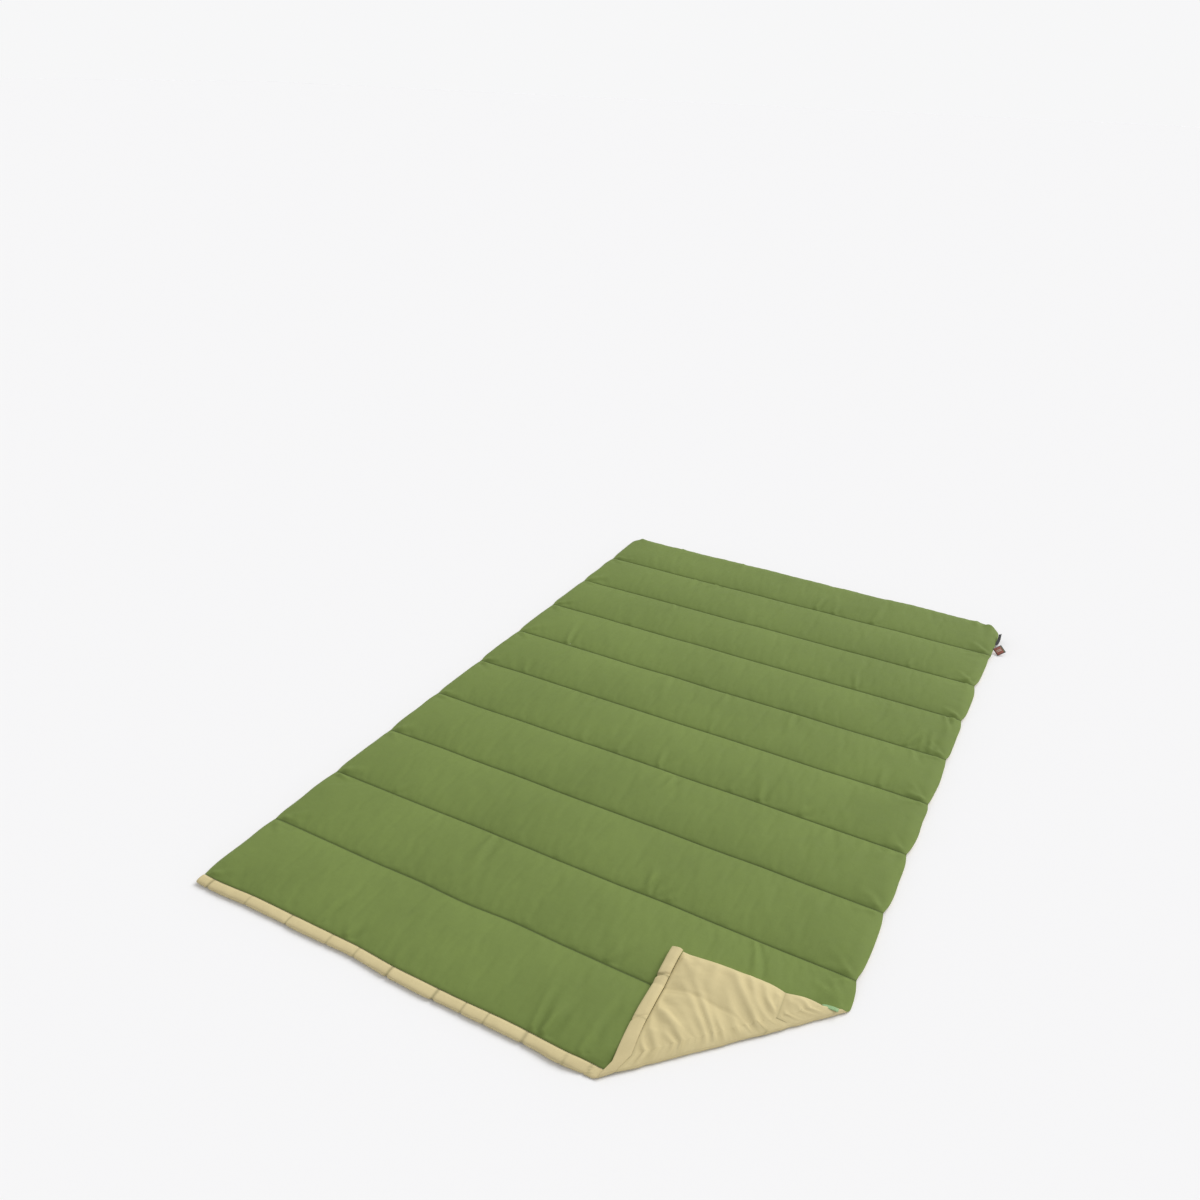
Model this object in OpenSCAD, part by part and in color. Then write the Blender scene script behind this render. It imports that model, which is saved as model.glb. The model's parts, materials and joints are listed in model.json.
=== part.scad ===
// Camp quilt: a padded outdoor blanket of ten crosswise channels, lying flat with one foot corner
// turned back over the top. The origin is on the surface that it lies on, at the middle of the
// underside of the sixth channel. +X is the quilt's right, +Y runs from foot to head, +Z is up.

/* [Quilt] */
// Width of the quilt from side to side
quilt_width = 1270; // [900:10:1600]
// Distance from one quilting seam to the next
channel_pitch = 200.5; // [160:0.5:260]
// Width of the edging band along the foot
binding_width = 25; // [18:1:32]

/* [Loft] */
// Height of the quilting seams above the ground
seam_height = 9; // [7:0.5:12]
// Rise of a channel's crown above its seams
crown_rise = 13; // [8:0.5:18]
// Thickness that stands for the shell and lining cloth
cloth = 0.8; // [0.6:0.1:1.2]
// Thickness of the sewing thread
thread = 0.4; // [0.3:0.05:0.4]
// Width over which the sides thin down to their edge
side_taper = 40; // [25:1:60]
// Radius of the two head corners
head_corner_radius = 45; // [20:1:80]

/* [Turned corner] */
// Length of foot edge that is turned back
corner_along_foot = 320; // [220:1:420]
// Length of right side that is turned back
corner_up_side = 337; // [240:1:360]

/* [Trim] */
// Length of the hanging loop
loop_length = 58; // [40:1:80]
// Width of the hanging loop's tape
loop_tape = 10; // [6:0.5:14]
// Side of the square woven label
label_side = 27; // [20:1:28]
// Length of the small tab along the turned-back side
tab_length = 32; // [20:1:50]
// Distance that the small tab stands out of the edge
tab_reach = 12; // [8:1:20]

/* [Hidden] */
channel_count = 10;
foot_channels = 2;
gap = 0.3;
binding_height = 16;
profile_steps = 10;
taper_steps = 4;
seam_power = 2.6;
underside_power = 1.6;
underside_flat = 0.4;
head_power = 6;
head_flat = 0.8;
reach = 4000;

crown = seam_height + crown_rise;
half_width = quilt_width / 2;
foot_y = seam_y(0) - binding_width;
head_y = seam_y(channel_count);
// The turned corner swings on this height, which keeps the two layers a gap apart
fold_height = crown + gap / 2;
fold_angle = atan2(corner_up_side, corner_along_foot);
fold_start = [half_width - corner_along_foot, foot_y, fold_height];
// Distance from an outer corner to the chamfer that stands for its rounding
corner_chamfer = head_corner_radius * (sqrt(2) - 1);
trim_y = seam_y(channel_count - 1) + 40;
// The loop leans out from the side, and starts this far headward of the label
loop_lean = 3;
loop_ahead = 34;
// The label is held by a corner, this far out from the side and above the seam, and tips down
label_gap = 1;
label_lift = 3;
label_tip = 35;
trim_thickness = 1.2;
// Distance along the right side from the fold to the tab
tab_from_fold = 16;

jointed = [for (k = [foot_channels + 1 : channel_count]) k];

// Y of the quilting seam on the head side of channel k
function seam_y(k) = (k - channel_count / 2 - 0.5) * channel_pitch;

// Height of a padded section, from 1 across its middle to 0 at t = -1 and t = 1
function puff(t, flat, power) = 1 - pow(max(0, (abs(t) - flat) / (1 - flat)), power);

function over(t, head) = puff(t, 0, head && t > 0 ? head_power : seam_power);

function under(t, head) =
    puff(t, head && t > 0 ? head_flat : underside_flat, head && t > 0 ? 1 : underside_power);

// Section across one channel as [y, z] points, drawn in by the given inset
function channel_points(k, inset) = let (
    middle = (seam_y(k - 1) + seam_y(k)) / 2,
    half = channel_pitch / 2 - gap - 4 * inset,
    head = k == channel_count,
    steps = [for (i = [0 : profile_steps]) 2 * i / profile_steps - 1]
) concat(
    [for (t = steps) [middle + half * t, seam_height + (crown_rise - inset) * over(t, head)]],
    [for (i = [1 : profile_steps - 1]) let (t = -steps[i])
        [middle + half * t, seam_height - (seam_height - inset) * under(t, head)]]
);

// Half section of a side edge as [distance in from the edge, z] points
function edge_points(inset) = let (
    start = 4 * inset,
    width = side_taper - inset,
    rise = crown_rise - inset,
    drop = seam_height - inset,
    steps = [for (i = [0 : taper_steps]) i / taper_steps]
) concat(
    [for (u = steps) [start + width * u, seam_height + rise * puff(1 - u, 0, 2)]],
    [[reach, seam_height + rise], [reach, seam_height - drop]],
    [for (i = [0 : taper_steps - 1]) let (u = 1 - i / taper_steps)
        [start + width * u, seam_height - drop * puff(1 - u, 0, 2)]]
);

// Draws a [y, z] section out along X
module along_x(points, from, to) {
    translate([from, 0, 0])
        rotate([90, 0, 90])
            linear_extrude(to - from)
                polygon(points);
}

// Everything inside a tapered edge that passes through the origin and faces -X
module inside_edge(inset) {
    rotate([90, 0, 0])
        linear_extrude(2 * reach, center = true)
            polygon(edge_points(inset));
}

module inside_sides(inset) {
    intersection() {
        translate([-half_width, 0, 0]) inside_edge(inset);
        translate([half_width, 0, 0]) rotate([0, 0, 180]) inside_edge(inset);
    }
}

// Everything inside the two cut-off head corners
module inside_head_corners(inset) {
    cut = corner_chamfer / sqrt(2);
    intersection_for (side = [-1, 1])
        translate([side * (half_width - cut), head_y - cut, 0])
            rotate([0, 0, side > 0 ? -135 : -45])
                inside_edge(inset);
}

// One channel as a closed pillow: its outer skin at inset 0, its filling at inset cloth
module pillow(k, inset) {
    intersection() {
        along_x(channel_points(k, inset), -half_width, half_width);
        inside_sides(inset);
        if (k == channel_count) inside_head_corners(inset);
        else cube(2 * reach, center = true);
    }
}

module above_seams() {
    translate([-reach, -reach, seam_height]) cube(2 * reach);
}

module below_seams() {
    translate([-reach, -reach, seam_height - 2 * reach]) cube(2 * reach);
}

module skin(k) {
    difference() {
        pillow(k, 0);
        pillow(k, cloth);
    }
}

module shell_part(k) {
    intersection() {
        skin(k);
        above_seams();
    }
}

module lining_part(k) {
    intersection() {
        skin(k);
        below_seams();
    }
}

// Sewing thread along seam k, inside the hinge line between two channels
module seam_line(k) {
    translate([0, seam_y(k), seam_height])
        cube([quilt_width - 4, thread, thread], center = true);
}

// Round section of the foot edging as [y, z] points, drawn in by the given inset
function binding_points(inset) = let (
    tip = foot_y + inset,
    seam = seam_y(0) - gap - 3 * inset,
    half = binding_height / 2 - inset,
    middle = seam_height
) [
    [seam, middle],
    [seam - 8, middle + 0.85 * half],
    [seam - 14, middle + half],
    [tip + 4, middle + 0.75 * half],
    [tip, middle + 0.25 * half],
    [tip, middle - 0.25 * half],
    [tip + 4, middle - 0.75 * half],
    [seam - 14, middle - half],
    [seam - 8, middle - 0.85 * half]
];

module binding_roll(inset) {
    along_x(binding_points(inset), inset - half_width, half_width - inset);
}

module binding_skin() {
    difference() {
        binding_roll(0);
        binding_roll(cloth);
    }
}

// Everything on one side of the fold line: the turned corner, or the rest of the quilt
module corner_zone() {
    translate([fold_start.x, fold_start.y, -reach])
        rotate([0, 0, fold_angle])
            translate([-reach, -2 * reach - gap, 0])
                cube(2 * reach);
}

module foot_zone() {
    translate([fold_start.x, fold_start.y, -reach])
        rotate([0, 0, fold_angle])
            translate([-reach, gap, 0])
                cube(2 * reach);
}

module keep_foot() {
    intersection() {
        union() children();
        foot_zone();
    }
}

// Takes the corner's share of the children and turns it over onto the top of the quilt
module turn_corner() {
    translate(fold_start)
        rotate(a = 180, v = [cos(fold_angle), sin(fold_angle), 0])
            translate(-fold_start)
                intersection() {
                    union() children();
                    corner_zone();
                }
}

module foot_shell() { color("olivedrab") keep_foot() for (k = [1 : foot_channels]) shell_part(k); }

module foot_lining() { color("tan") keep_foot() for (k = [1 : foot_channels]) lining_part(k); }

module foot_wadding() {
    color("whitesmoke") keep_foot() for (k = [1 : foot_channels]) pillow(k, cloth);
}

module foot_seam_thread() { color("darkolivegreen") keep_foot() seam_line(1); }

module foot_binding() { color("wheat") keep_foot() binding_skin(); }

module foot_binding_wadding() { color("whitesmoke") keep_foot() binding_roll(cloth); }

module foot_binding_thread() { color("burlywood") keep_foot() seam_line(0); }

module corner_shell() {
    color("olivedrab") turn_corner() for (k = [1 : foot_channels]) shell_part(k);
}

module corner_lining() {
    color("tan") turn_corner() for (k = [1 : foot_channels]) lining_part(k);
}

module corner_wadding() {
    color("whitesmoke") turn_corner() for (k = [1 : foot_channels]) pillow(k, cloth);
}

module corner_seam_thread() { color("darkolivegreen") turn_corner() seam_line(1); }

module corner_binding() { color("wheat") turn_corner() binding_skin(); }

module corner_binding_wadding() { color("whitesmoke") turn_corner() binding_roll(cloth); }

module corner_binding_thread() { color("burlywood") turn_corner() seam_line(0); }

module shell(k) { color("olivedrab") shell_part(k); }

module lining(k) { color("tan") lining_part(k); }

module wadding(k) { color("whitesmoke") pillow(k, cloth); }

module seam_thread(k) { color("darkolivegreen") seam_line(k); }

// Side view of the hanging loop: a folded tape with a long eye
module loop_outline() {
    narrow = 1.2;
    wide = 4.8;
    difference() {
        polygon([
            [3, -narrow], [14, -wide], [loop_length - 6, -wide], [loop_length, -wide / 2],
            [loop_length, wide / 2], [loop_length - 6, wide], [14, wide], [3, narrow]
        ]);
        polygon([
            [10, -1.4], [15, trim_thickness - wide], [loop_length - 7, trim_thickness - wide],
            [loop_length - trim_thickness, -1.6], [loop_length - trim_thickness, 1.6],
            [loop_length - 7, wide - trim_thickness], [15, wide - trim_thickness], [10, 1.4]
        ]);
    }
}

// Black tape loop sewn into the right side near the head, lying along the edge
module hang_loop() {
    color("black")
        translate([half_width + 2, trim_y + loop_ahead, seam_height])
            rotate([0, 0, -loop_lean])
                rotate([90, 0, 90])
                    linear_extrude(loop_tape)
                        loop_outline();
}

// Square woven label sewn in by one corner at the foot end of the loop
module side_label() {
    color("firebrick")
        translate([half_width + label_gap, trim_y, seam_height + label_lift])
            rotate([label_tip, 0, 0])
                rotate([0, 0, -45])
                    translate([0, 0, -trim_thickness / 2])
                        cube([label_side, label_side, trim_thickness]);
}

// Short flat tab sewn into the turned-back stretch of the right side
module side_tab() {
    color("palegreen")
        turn_corner()
            translate([
                half_width + gap,
                foot_y + corner_up_side - tab_from_fold - tab_length,
                seam_height - trim_thickness / 2
            ])
                cube([tab_reach, tab_length, trim_thickness]);
}

foot_shell();
foot_lining();
foot_wadding();
foot_seam_thread();
foot_binding();
foot_binding_wadding();
foot_binding_thread();
corner_shell();
corner_lining();
corner_wadding();
corner_seam_thread();
corner_binding();
corner_binding_wadding();
corner_binding_thread();
for (k = jointed) shell(k);
for (k = jointed) lining(k);
for (k = jointed) wadding(k);
for (k = jointed) seam_thread(k - 1);
hang_loop();
side_label();
side_tab();
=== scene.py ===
import itertools
import json
import math

import bmesh
import bpy
import numpy as np
from mathutils import Matrix, Vector


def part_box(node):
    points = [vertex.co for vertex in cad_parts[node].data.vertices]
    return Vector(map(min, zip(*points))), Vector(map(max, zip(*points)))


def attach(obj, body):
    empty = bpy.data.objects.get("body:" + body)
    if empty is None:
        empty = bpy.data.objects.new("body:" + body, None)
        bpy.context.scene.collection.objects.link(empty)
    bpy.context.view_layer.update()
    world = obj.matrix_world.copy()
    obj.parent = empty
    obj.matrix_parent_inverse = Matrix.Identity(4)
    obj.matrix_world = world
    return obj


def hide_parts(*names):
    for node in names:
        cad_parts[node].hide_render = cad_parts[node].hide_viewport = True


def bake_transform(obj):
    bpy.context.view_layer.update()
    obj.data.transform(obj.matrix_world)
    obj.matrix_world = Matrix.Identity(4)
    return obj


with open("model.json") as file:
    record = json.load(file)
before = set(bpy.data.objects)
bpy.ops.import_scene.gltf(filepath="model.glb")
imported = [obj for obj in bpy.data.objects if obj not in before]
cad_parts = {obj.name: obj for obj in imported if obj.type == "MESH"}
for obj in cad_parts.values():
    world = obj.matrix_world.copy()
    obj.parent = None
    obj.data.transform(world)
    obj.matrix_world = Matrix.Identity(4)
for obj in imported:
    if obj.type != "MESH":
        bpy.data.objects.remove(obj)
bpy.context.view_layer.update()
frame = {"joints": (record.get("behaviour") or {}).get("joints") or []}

# -------- sizes taken from the frame
JOINTS = {joint["name"]: joint for joint in frame["joints"]}
CHANNELS = 10
FOOT_CHANNELS = 2
SECOND_SEAM = JOINTS["seam_2_fold"]["pos_m"][1]
NINTH_SEAM = JOINTS["seam_9_fold"]["pos_m"][1]
SEAM_Z = JOINTS["seam_2_fold"]["pos_m"][2]
PITCH = (NINTH_SEAM - SECOND_SEAM) / (9 - 2)
FIRST_SEAM = SECOND_SEAM - 2 * PITCH
HEAD_EDGE = FIRST_SEAM + CHANNELS * PITCH
HALF_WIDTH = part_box("shell_3")[1].x
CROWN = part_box("shell_3")[1].z
FOOT_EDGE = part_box("foot_binding")[0].y
FOLD_START = np.array(JOINTS["corner_fold"]["pos_m"][:2])
ALONG = np.array(JOINTS["corner_fold"]["axis"][:2])
ALONG = ALONG / np.linalg.norm(ALONG)
OUTWARD = np.array([ALONG[1], -ALONG[0]])
FOLD_END_Y = FOLD_START[1] + (HALF_WIDTH - FOLD_START[0]) * ALONG[1] / ALONG[0]
TRIM_Y = JOINTS["label_flop"]["pos_m"][1]

# -------- sizes of the padding and cloth
MM = 0.001
RISE = 11.6 * MM
SHOULDER = 0.17
SHOULDER_WIDTH = 4 * MM
SIDE_TAPER = 30 * MM
EDGE_DROOP = 4 * MM
CORNER_RADIUS = 45 * MM
CLOTH = 0.4 * MM
NOTCH_DEPTH = 7 * MM
NOTCH_REACH = 24 * MM
BINDING_HEIGHT = 10.5 * MM
BINDING_SIDES = 20
WADDING_INSET = 6 * MM
WADDING_GAP = 2.6 * MM
WADDING_FULL = 0.86
COLUMN_STEP = 4 * MM
TAB_WIDTH = 30 * MM
TAB_REACH = 11 * MM
TAB_FROM_FOLD = 32 * MM

# Sizes of the cloth's irregularities: its waver and puckers, and the wander of seams and edges
LOFT_VARIATION = 0.07
SIDE_WAVER = 2.2 * MM
SEAM_WANDER = 3.6 * MM
HINGED_SEAM_WANDER = 1.7 * MM
HEAD_WAVER = 1.8 * MM
HEAD_CORNER_PULL = 12 * MM
SIMULATED_SHARE = 0.5
SEAM_PUCKER = 0.6 * MM
SIDE_PUCKER = 0.9 * MM
LINING_PUCKER = 0.8 * MM
PRESSED_BY_FLAP = 1.2 * MM

# Where the turned corner leaves the quilt, as distances outward from its hinge line.
FOLD_FREE = -60 * MM
FOLD_CREASE = -16 * MM
FOLD_FLAP = 30 * MM
CREASE_SQUASH = 0.5
SEAM_RELIEF = 18 * MM
FOLD_ENDINGS = ("", "_crease", "_turned")
CREASE_PULL = 8 * MM
FLAP_SAG = 0.55
FLAP_GAP = 0.3 * MM
FLAP_SEAM_LIFT = 5 * MM
CREASE_WAVER = 1.6 * MM
CREASE_RIPPLE = 1.0 * MM

# Rows of points along the fold, as distances outward from its hinge line
BEFORE_CREASE = np.array([-53, -46, -39, -33, -28, -24]) * MM
CREASE_ROWS = np.array([-20, -16, -13, -10.5, -8, -5.5, -3, 0]) * MM

# Path of the crease from its start to its middle, as (distance outward, height) in millimetres
CREASE_STEPS = np.array([-16, -12, -8, -4, 0]) * MM
CREASE_OUTER = np.array([(-16, 0), (-13.7, 0.9), (-12, 3.2), (-12, 6.8), (-14.5, 10)]) * MM
CREASE_THIN = np.array([(-16, 4.5), (-14.4, 4.8), (-13.3, 5.9), (-13.8, 7.6), (-16.5, 9)]) * MM
CREASE_INNER = np.array([(-24, 11), (-24, 11), (-24, 11), (-24, 11.1), (-24, 11.3)]) * MM


# -------- small helpers
def smooth(x):
    """0 up to x = 0 and 1 from x = 1, with a soft start and end."""
    x = np.clip(x, 0, 1)
    return x * x * (3 - 2 * x)


def noise(x, y, seed):
    """A smooth seeded field from -1 to 1 whose grains are one unit across."""
    x, y = np.broadcast_arrays(np.asarray(x, float), np.asarray(y, float))
    column, row = np.floor(x).astype(np.int64), np.floor(y).astype(np.int64)

    def corner(i, j):
        mixed = (i * 374761393 + j * 668265263 + seed * 974711) & 0x7FFFFFFF
        mixed = ((mixed ^ (mixed >> 13)) * 1274126177) & 0x7FFFFFFF
        return ((mixed ^ (mixed >> 16)) & 0xFFFF) / 32767.5 - 1

    across, up = smooth(x - column), smooth(y - row)
    low = corner(column, row) * (1 - across) + corner(column + 1, row) * across
    high = corner(column, row + 1) * (1 - across) + corner(column + 1, row + 1) * across
    return low * (1 - up) + high * up


def seam_y(k):
    """Place of seam k; seam 0 holds the binding and seam CHANNELS is the head edge."""
    return FIRST_SEAM + k * PITCH


def fold_place(u, v):
    """(distance along the hinge line, distance outward from it) of cloth point (u, v)."""
    dx, dy = u - FOLD_START[0], v - FOLD_START[1]
    return dx * ALONG[0] + dy * ALONG[1], dx * OUTWARD[0] + dy * OUTWARD[1]


def from_fold(s, t):
    """The point at distance s along the hinge line and t outward from it."""
    return FOLD_START[0] + s * ALONG[0] + t * OUTWARD[0], FOLD_START[1] + s * ALONG[1] + t * OUTWARD[1]


def mirror(u, v):
    """The point that (u, v) lands on when the corner is turned over."""
    s, t = fold_place(u, v)
    return from_fold(s, -t)


def side_limit(v):
    """Half width of the cloth at v, which is full apart from the two rounded head corners."""
    over = np.clip(v - (HEAD_EDGE - CORNER_RADIUS), 0, CORNER_RADIUS)
    return HALF_WIDTH - CORNER_RADIUS + np.sqrt(CORNER_RADIUS**2 - over**2)


def channel_place(v):
    """(channel index from 0, place across it from -1 at its foot seam to 1 at its head seam)."""
    place = np.clip((v - FIRST_SEAM) / PITCH, 0, CHANNELS - 1e-9)
    k = np.floor(place + 1e-9)
    return k, np.clip(2 * (place - k) - 1, -1, 1)


def seam_distance(v):
    """Distance of cloth point v from the nearest seam."""
    return (1 - np.abs(channel_place(v)[1])) * PITCH / 2


# -------- the shape of the padding
def plumpness(u, v):
    """How far the top and the underside swell at (u, v), from 0 at a seam or an edge to 1.

    Also the share of that swell that the sides leave, and the place across the channel.
    """
    k, t = channel_place(v)
    arch = 1 - np.abs(t) ** 2.4
    over = (1 - SHOULDER) * arch + SHOULDER * (1 - np.exp(-seam_distance(v) / SHOULDER_WIDTH))
    under = 1 - np.clip((np.abs(t) - 0.4) / 0.6, 0, 1) ** 1.6
    head_half = (k == CHANNELS - 1) & (t > 0)
    over = np.where(head_half, 1 - np.abs(t) ** 6, over)
    under = np.where(head_half, 1 - np.clip((np.abs(t) - 0.8) / 0.2, 0, 1) ** 1.3, under)
    side = 1 - (1 - np.clip((side_limit(v) - np.abs(u)) / SIDE_TAPER, 0, 1)) ** 2.5
    return over * side, under * side, side, t


def under_flap(u, v):
    """1 where the turned corner lies on the quilt, 0 elsewhere."""
    s, t = fold_place(u, v)
    x, y = from_fold(s, -t)
    covered = smooth((HALF_WIDTH - x) / 0.02) * smooth((y - FOOT_EDGE) / 0.02)
    return np.where(t < 0, covered, 0.0)


def beside_trim(u, v):
    """1 on the right side where the loop and the label are sewn in, fading to 0 around them."""
    return smooth((u - 0.5 * HALF_WIDTH) / 0.1) * smooth((0.075 - np.abs(v - TRIM_Y)) / 0.03)


def base_heights(u, v):
    """Heights of the shell and of the lining above the ground, without wrinkles."""
    over, under, side, t = plumpness(u, v)
    loft = 1 + LOFT_VARIATION * noise(u / 0.23, v / 0.14, 3)
    middle = SEAM_Z - EDGE_DROOP * (1 - t * t) * (1 - side) * (1 - beside_trim(u, v))
    top = middle + RISE * over * loft
    bottom = middle - SEAM_Z * under
    return top, np.maximum(bottom, 0)


# -------- wrinkles
# A negative EXTRA_CLOTH lets the trial cloth grow by that share
TRIAL_COLUMNS = 181
TRIAL_ROWS = 20
TRIAL_FRAMES = 20
EXTRA_CLOTH = -0.022
WRINKLE_LIMIT = 3 * MM
FIELD = {"heights": None}


def simulate_wrinkles():
    """Lets the shell settle as cloth slightly too long for its seams, and keeps its creases."""
    us = np.linspace(-HALF_WIDTH, HALF_WIDTH, TRIAL_COLUMNS)
    vs = np.linspace(FIRST_SEAM, HEAD_EDGE, CHANNELS * TRIAL_ROWS + 1)
    u, v = np.meshgrid(us, vs)
    top = base_heights(u, v)[0]
    pinned = (np.arange(len(vs)) % TRIAL_ROWS == 0)[:, None] | (np.abs(u) > HALF_WIDTH - MM)
    start = top + np.where(pinned, 0, 0.25 * MM * noise(u / 0.021, v / 0.03, 17))
    points = np.stack([u, v, start], axis=2).reshape(-1, 3)
    sheet = add_mesh("trial_cloth", points, grid_faces(len(vs), len(us)))
    group = sheet.vertex_groups.new(name="pinned")
    group.add([int(i) for i in np.flatnonzero(pinned.ravel())], 1.0, "ADD")
    cloth = sheet.modifiers.new("cloth", "CLOTH")
    settings = dict(quality=5, mass=0.02, tension_stiffness=8, compression_stiffness=8, shear_stiffness=3,
                    bending_stiffness=0.02, air_damping=2, vertex_group_mass="pinned",
                    shrink_min=EXTRA_CLOTH, use_pressure=True, uniform_pressure_force=4)
    for setting, value in settings.items():
        setattr(cloth.settings, setting, value)
    cloth.settings.effector_weights.gravity = 0
    cloth.collision_settings.use_collision = False
    cloth.point_cache.frame_end = TRIAL_FRAMES
    scene = bpy.context.scene
    for number in range(TRIAL_FRAMES):
        scene.frame_set(number + 1)
    settled = sheet.evaluated_get(bpy.context.evaluated_depsgraph_get()).to_mesh()
    moved = np.empty(len(points) * 3, np.float32)
    settled.vertices.foreach_get("co", moved)
    heights = moved.reshape(len(vs), len(us), 3)[:, :, 2] - top
    scene.frame_set(1)
    bpy.data.objects.remove(sheet)
    swell = heights.mean(axis=1, keepdims=True)
    FIELD["heights"] = np.clip(heights - swell, -WRINKLE_LIMIT, WRINKLE_LIMIT)


def simulated(u, v):
    """Height of the simulated wrinkles at cloth point (u, v)."""
    if FIELD["heights"] is None:
        return 0.8 * MM * noise(u / 0.03, v / 0.07, 5)
    rows, columns = FIELD["heights"].shape
    i = np.clip((u + HALF_WIDTH) / (2 * HALF_WIDTH), 0, 1) * (columns - 1.001)
    j = np.clip((v - FIRST_SEAM) / (HEAD_EDGE - FIRST_SEAM), 0, 1) * (rows - 1.001)
    i0, j0 = i.astype(int), j.astype(int)
    fi, fj = i - i0, j - j0
    low = FIELD["heights"][j0, i0] * (1 - fi) + FIELD["heights"][j0, i0 + 1] * fi
    high = FIELD["heights"][j0 + 1, i0] * (1 - fi) + FIELD["heights"][j0 + 1, i0 + 1] * fi
    return low * (1 - fj) + high * fj


def pulls(u, v, channel):
    """Tension creases: soft ridges that leave a seam square to it and fade across the channel."""
    generator = np.random.default_rng(100 + channel)
    total = np.zeros_like(u)
    for _ in range(int(generator.integers(6, 10))):
        middle = HALF_WIDTH * (1 - 1.8 * generator.random() ** 1.7)
        lean = generator.uniform(-0.35, 0.35)
        width = generator.uniform(4.5, 9) * MM
        reach = generator.uniform(30, 130) * MM
        height = generator.uniform(1.6, 4.0) * MM
        from_head = generator.random() < 0.5
        seam = seam_y(channel + 1) if from_head else seam_y(channel)
        away = (seam - v) if from_head else (v - seam)
        offset = (u - middle - lean * away) / (width * (1 + away / reach))
        fade = smooth(away / (12 * MM)) * (1 - smooth((away - 0.3 * reach) / reach))
        total += height * np.exp(-offset * offset) * fade
        total -= 0.7 * height * np.exp(-((offset - 1.7) ** 2)) * fade
    return total


def ridge(u, v, start, end, width, height):
    """A soft fold of the cloth that runs from start to end and thins out towards its end."""
    run = np.array(end) - np.array(start)
    length = np.linalg.norm(run)
    ahead = ((u - start[0]) * run[0] + (v - start[1]) * run[1]) / length
    across = (u - start[0]) * run[1] / length - (v - start[1]) * run[0] / length
    share = np.clip(ahead / length, 0, 1)
    fade = smooth((ahead + 0.15 * length) / (0.3 * length)) * (1 - smooth((share - 0.45) / 0.55))
    offset = across / (width * (1 + 0.7 * share))
    return height * fade * (np.exp(-np.abs(offset) ** 1.7) - 0.55 * np.exp(-((offset - 1.8) ** 2)))


def notch_creases(u, v):
    """Short creases that fan inward from the pinched ends of the seams."""
    generator = np.random.default_rng(23)
    total = np.zeros_like(u)
    for k, side, towards, _ in itertools.product(range(CHANNELS + 1), (-1, 1), (-1, 1), range(2)):
        start = (side * (HALF_WIDTH - 12 * MM), seam_y(k) + towards * 7 * MM)
        reach = generator.uniform(35, 80) * MM
        spread = generator.uniform(0.15, 0.9)
        end = (start[0] - side * reach, start[1] + towards * spread * reach)
        width = generator.uniform(4, 7) * MM
        height = generator.uniform(0.8, 2.2) * MM
        if 0 <= k + towards <= CHANNELS:
            near = (np.abs(v - seam_y(k)) < 0.12) & (np.abs(u - start[0]) < 0.12)
            total[near] += ridge(u[near], v[near], start, end, width, height)
    return total


def fold_corner_creases(u, v):
    """Creases of the shell that run into the end of the fold on the right side."""
    end = (HALF_WIDTH - 10 * MM, FOLD_END_Y + 10 * MM)
    total = np.zeros_like(u)
    for du, dv, height in ((-45, 58, 2.6), (-85, 40, 1.8), (-18, 50, 1.6)):
        start = (end[0] + du * MM, end[1] + dv * MM)
        total += ridge(u, v, end, start, 6 * MM, height * MM)
    return total


def shell_wrinkles(u, v):
    k = channel_place(v)[0]
    from_seam = seam_distance(v)
    inside = side_limit(v) - np.abs(u)
    room = smooth(from_seam / (9 * MM)) * smooth(inside / (22 * MM)) * (1 - under_flap(u, v))
    total = SIMULATED_SHARE * simulated(u, v)
    for channel in range(CHANNELS):
        here = k == channel
        if here.any():
            total[here] += pulls(u[here], v[here], channel)
    near = np.exp(-from_seam / (14 * MM))
    total = total + SEAM_PUCKER * near * noise(u / 0.016, v / 0.03, 8)
    total = total + notch_creases(u, v) + fold_corner_creases(u, v)
    edge_puckers = np.exp(-inside / (40 * MM)) * noise(v / 0.019, u / 0.05, 9)
    return (total + SIDE_PUCKER * edge_puckers) * room


def lining_wrinkles(u, v):
    from_seam = seam_distance(v)
    room = smooth(from_seam / (9 * MM)) * smooth((side_limit(v) - np.abs(u)) / (25 * MM))
    near = np.exp(-from_seam / (22 * MM))
    flat_part = smooth((-20 * MM - fold_place(u, v)[1]) / 0.03)
    puckers = LINING_PUCKER * near * noise(u / 0.018, v / 0.04, 12)
    return (SIMULATED_SHARE * simulated(-u, v) + puckers) * room * flat_part


def heights(u, v):
    top, bottom = base_heights(u, v)
    top = top + shell_wrinkles(u, v) - PRESSED_BY_FLAP * under_flap(u, v)
    bottom = bottom - lining_wrinkles(u, v)
    return np.maximum(top, bottom), np.maximum(bottom, 0)


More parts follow.
